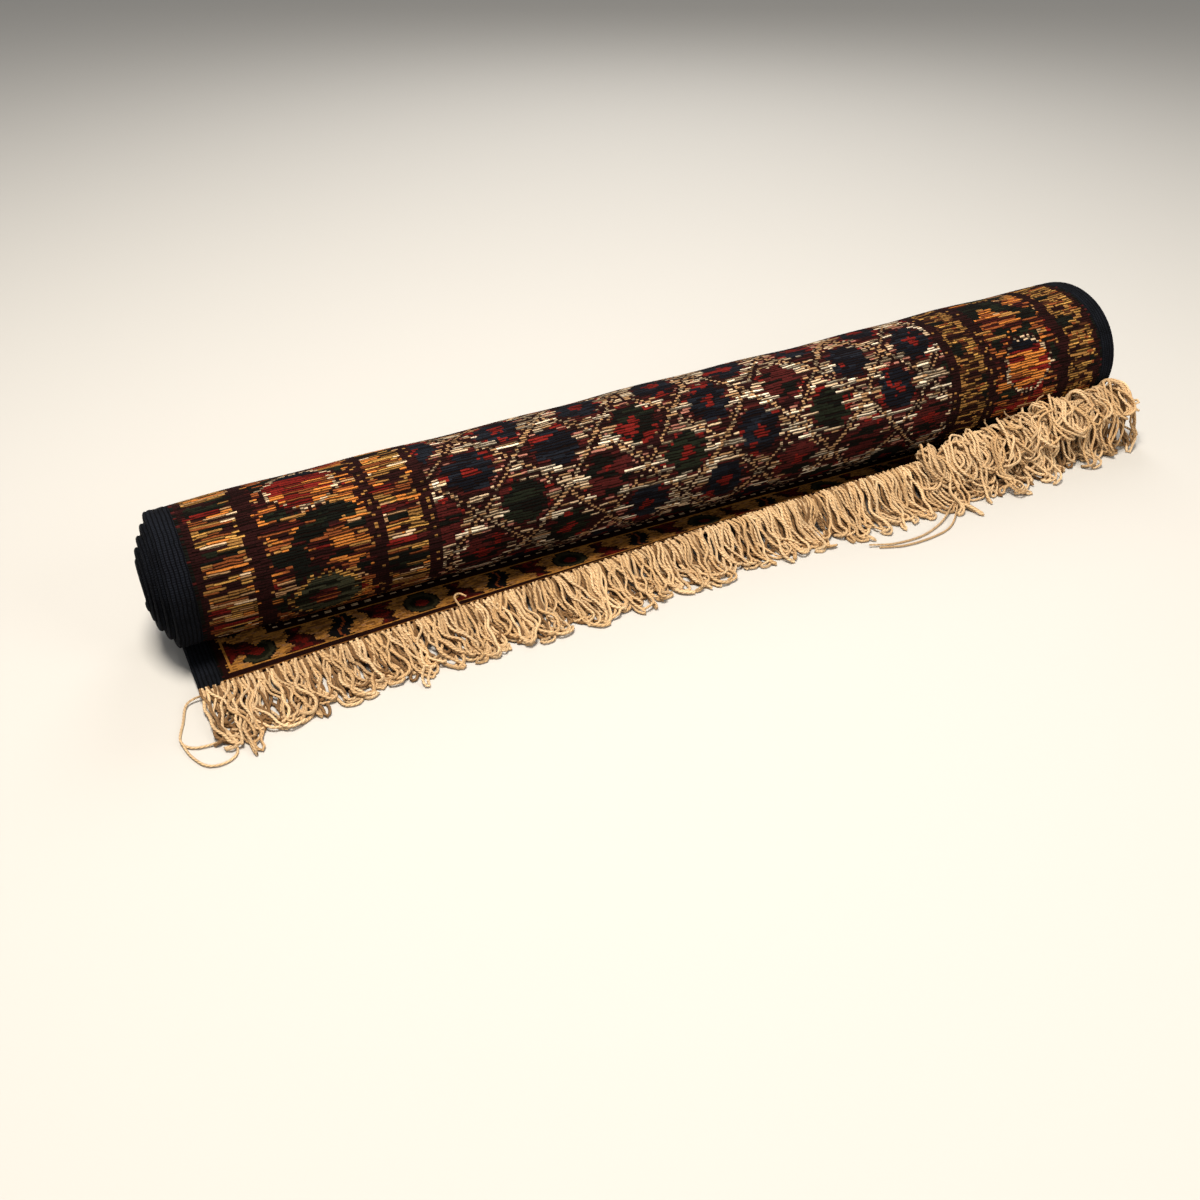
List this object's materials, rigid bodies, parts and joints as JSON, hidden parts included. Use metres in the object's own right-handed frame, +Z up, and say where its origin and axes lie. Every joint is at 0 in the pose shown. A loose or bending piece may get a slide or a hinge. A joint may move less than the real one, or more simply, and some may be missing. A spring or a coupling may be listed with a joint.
{
  "type": "rolled up carpet",
  "caption": "Small knotted carpet rolled up along its length, its fringed end left loose on the surface in front and its dark overcast edges stepped at one end.",
  "frame": {"origin": "middle of the footprint, on the surface that the roll lies on", "axes": "+X along the roll to its clean end, -Y to the loose fringed end, +Z up"},
  "size_m": [0.815, 0.1926, 0.1171],
  "materials": {
    "wound_cloth": "woven back of a knotted wool carpet, in plum, crimson, ochre, orange, ivory and dark green",
    "loose_cloth": "short wool pile with an ochre guard border, dark leaves and crimson blossoms",
    "selvedge": "blue-black wool overcast over cords, finely ribbed",
    "fringe": "cream twisted cotton in uncut loops, matt"
  },
  "bodies": {
    "root": {"rolled_body": "wound_cloth", "loose_end": "loose_cloth", "roll_selvedge_left": "selvedge", "roll_selvedge_right": "selvedge", "loose_selvedge_left": "selvedge", "loose_selvedge_right": "selvedge", "fringe": "fringe"}
  },
  "joints": []
}
